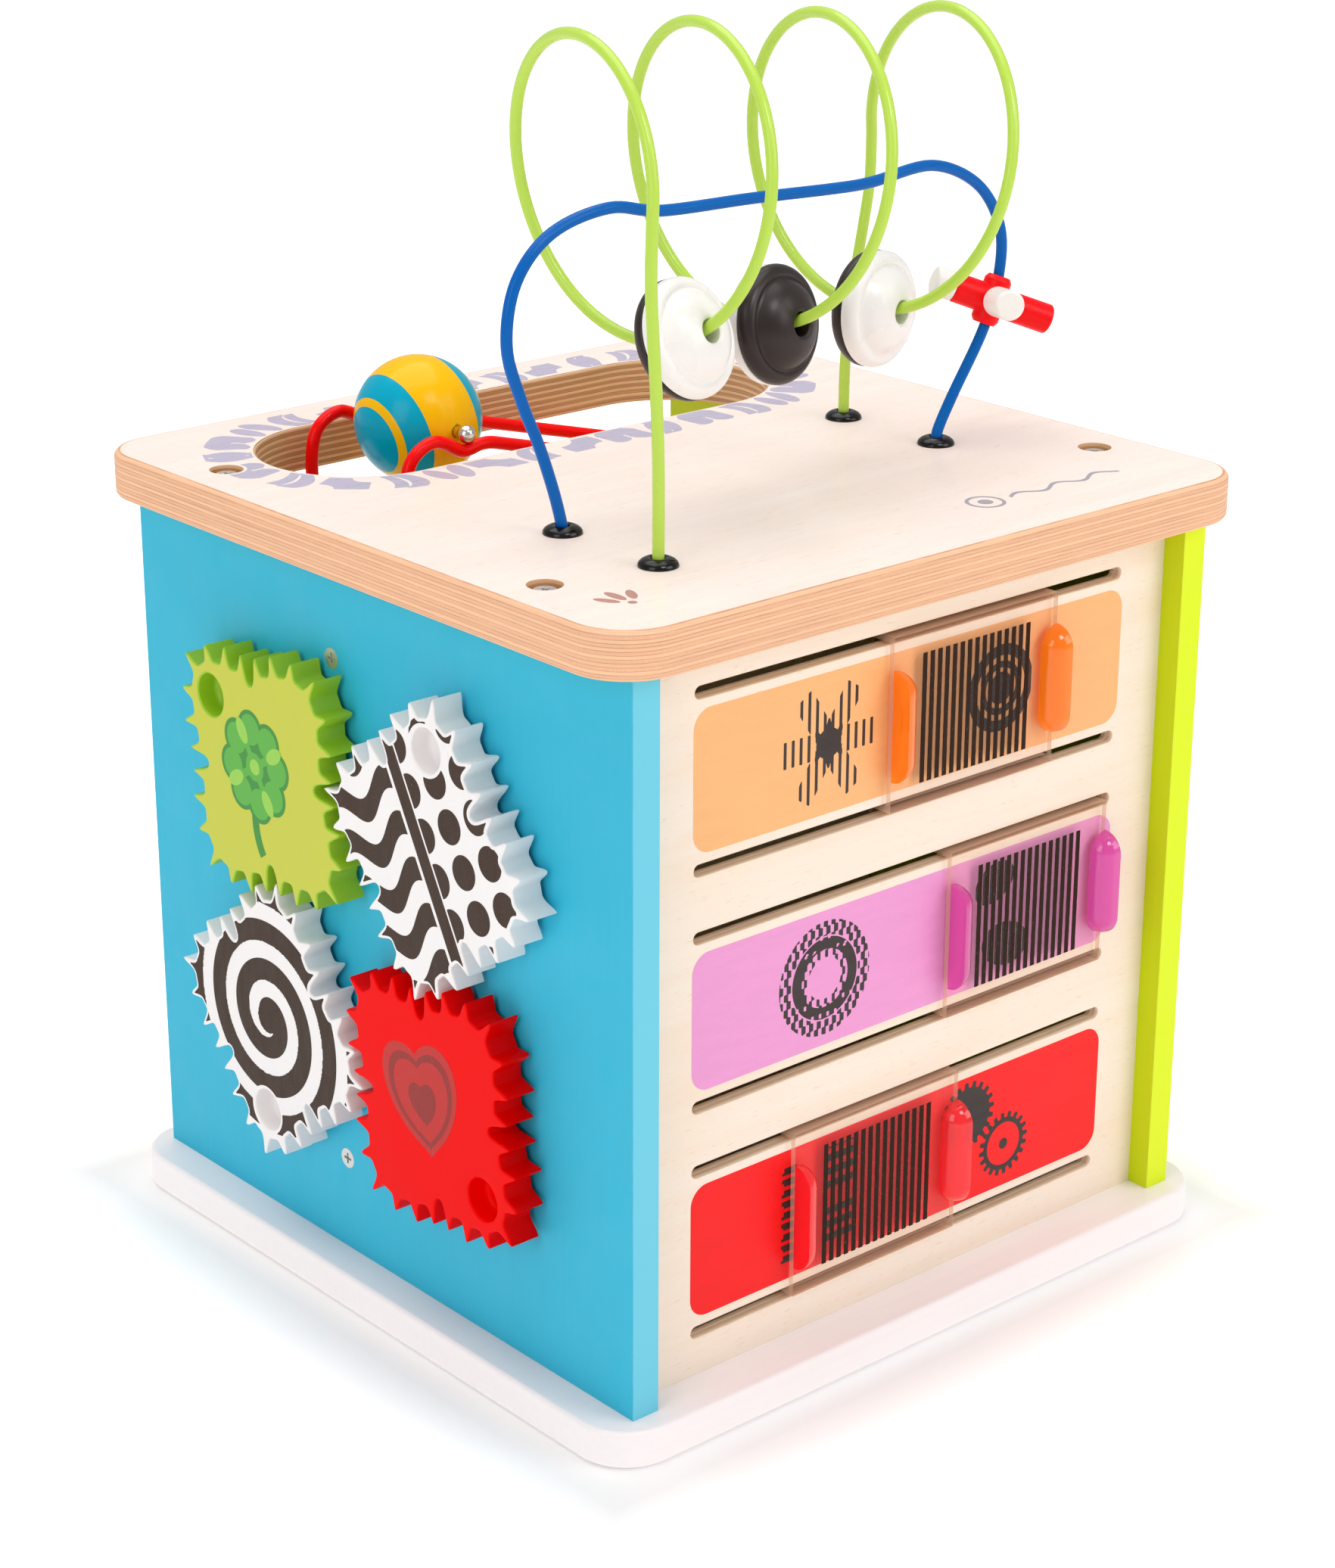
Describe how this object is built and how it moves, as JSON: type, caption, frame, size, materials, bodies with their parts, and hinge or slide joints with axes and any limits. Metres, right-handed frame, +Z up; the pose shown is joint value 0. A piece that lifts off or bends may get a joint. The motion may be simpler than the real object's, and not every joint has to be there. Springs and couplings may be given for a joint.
{
  "type": "activity cube",
  "caption": "Wooden baby activity cube with square meshing gears, sliding windows, a ball on rails in the top, and a coiled and an arched bead wire.",
  "frame": {"origin": "centre of the flat underside of the base board", "axes": "+Z up; the slider panel faces -Y and the gear panel faces -X"},
  "size_m": [0.32, 0.32, 0.4965],
  "materials": {
    "white_paint": "satin paint",
    "top_ply": "clear satin lacquer",
    "blue_paint": "satin paint",
    "green_paint": "satin paint",
    "front_wood": "clear satin lacquer",
    "plain_wood": "bare",
    "screw_steel": "zinc plated",
    "wire_green": "gloss",
    "wire_blue": "gloss",
    "cap_black": "gloss",
    "rail_red": "gloss",
    "ball_paint": "gloss paint",
    "pin_chrome": "polished",
    "gear_green": "satin",
    "gear_white": "satin",
    "gear_red": "satin",
    "clear_window": "clear",
    "grip_orange": "tinted clear",
    "grip_magenta": "tinted clear",
    "grip_red": "tinted clear",
    "bead_white": "gloss",
    "bead_black": "gloss",
    "spinner_red": "gloss",
    "spinner_white": "gloss"
  },
  "bodies": {
    "frame": {"base_board": "white_paint", "top_board": "top_ply", "left_panel": "blue_paint", "right_panel": "green_paint", "front_panel": "front_wood", "cross_board": "plain_wood", "board_screws": "screw_steel", "panel_screws": "screw_steel", "coil_wire": "wire_green", "arch_wire": "wire_blue", "wire_caps": "cap_black", "ball_rails": "rail_red"},
    "gear_1": {"gear_1": "gear_green", "gear_1_screw": "screw_steel"},
    "gear_2": {"gear_2": "gear_white", "gear_2_screw": "screw_steel"},
    "gear_3": {"gear_3": "gear_white", "gear_3_screw": "screw_steel"},
    "gear_4": {"gear_4": "gear_red", "gear_4_screw": "screw_steel"},
    "slider_1": {"window_1": "clear_window", "grips_1": "grip_orange"},
    "slider_2": {"window_2": "clear_window", "grips_2": "grip_magenta"},
    "slider_3": {"window_3": "clear_window", "grips_3": "grip_red"},
    "bead_1": {"bead_1_front": "bead_white", "bead_1_back": "bead_black"},
    "bead_2": {"bead_2_front": "bead_black", "bead_2_back": "bead_white"},
    "bead_3": {"bead_3_front": "bead_white", "bead_3_back": "bead_black"},
    "spinner": {"spinner_red": "spinner_red", "spinner_white": "spinner_white"},
    "ball_pin": {"ball_pin": "pin_chrome"},
    "ball": {"ball": "ball_paint"}
  },
  "joints": [
    {"name": "gear_1_spin", "type": "hinge", "parent": "frame", "child": "gear_1", "pos_m": [-0.147, 0.0512, 0.2105], "axis": [-1, 0, 0], "continuous": true},
    {"name": "gear_2_spin", "type": "hinge", "parent": "frame", "child": "gear_2", "pos_m": [-0.147, -0.0512, 0.2105], "axis": [-1, 0, 0], "continuous": true},
    {"name": "gear_3_spin", "type": "hinge", "parent": "frame", "child": "gear_3", "pos_m": [-0.147, 0.0512, 0.1081], "axis": [-1, 0, 0], "continuous": true},
    {"name": "gear_4_spin", "type": "hinge", "parent": "frame", "child": "gear_4", "pos_m": [-0.147, -0.0512, 0.1081], "axis": [-1, 0, 0], "continuous": true},
    {"name": "slider_1_slide", "type": "slide", "parent": "frame", "child": "slider_1", "axis": [1, 0, 0], "range_m": [-0.092, 0.037]},
    {"name": "slider_2_slide", "type": "slide", "parent": "frame", "child": "slider_2", "axis": [1, 0, 0], "range_m": [-0.1255, 0.0035]},
    {"name": "slider_3_slide", "type": "slide", "parent": "frame", "child": "slider_3", "axis": [1, 0, 0], "range_m": [-0.0475, 0.0815]},
    {"name": "bead_1_swing", "type": "hinge", "parent": "frame", "child": "bead_1", "pos_m": [-0.05454, -0.05211, 0.43418], "axis": [-0.9887, -0.1458, 0.0358], "range_deg": [-14, 14]},
    {"name": "bead_2_swing", "type": "hinge", "parent": "frame", "child": "bead_2", "pos_m": [0, -0.05249, 0.43198], "axis": [-0.9852, -0.1673, 0.0385], "range_deg": [-14, 14]},
    {"name": "bead_3_swing", "type": "hinge", "parent": "frame", "child": "bead_3", "pos_m": [0.05956, -0.05257, 0.42905], "axis": [-0.9821, -0.1817, 0.05], "range_deg": [-14, 14]},
    {"name": "spinner_spin", "type": "hinge", "parent": "frame", "child": "spinner", "pos_m": [0.1236, -0.0525, 0.3714], "axis": [0.3629, -0.0698, 0.9292], "continuous": true},
    {"name": "pin_roll", "type": "hinge", "parent": "frame", "child": "ball_pin", "pos_m": [-0.0435, 0.09, 0.2975], "axis": [0, 1, 0], "range_deg": [0, 35]},
    {"name": "ball_spin", "type": "hinge", "parent": "ball_pin", "child": "ball", "pos_m": [-0.05203, 0.09, 0.32454], "axis": [0, 1, 0], "continuous": true}
  ],
  "couplings": [
    {"joint": "gear_2_spin", "follows": "gear_1_spin", "ratio": -1},
    {"joint": "gear_3_spin", "follows": "gear_1_spin", "ratio": -1},
    {"joint": "gear_4_spin", "follows": "gear_1_spin", "ratio": 1}
  ]
}
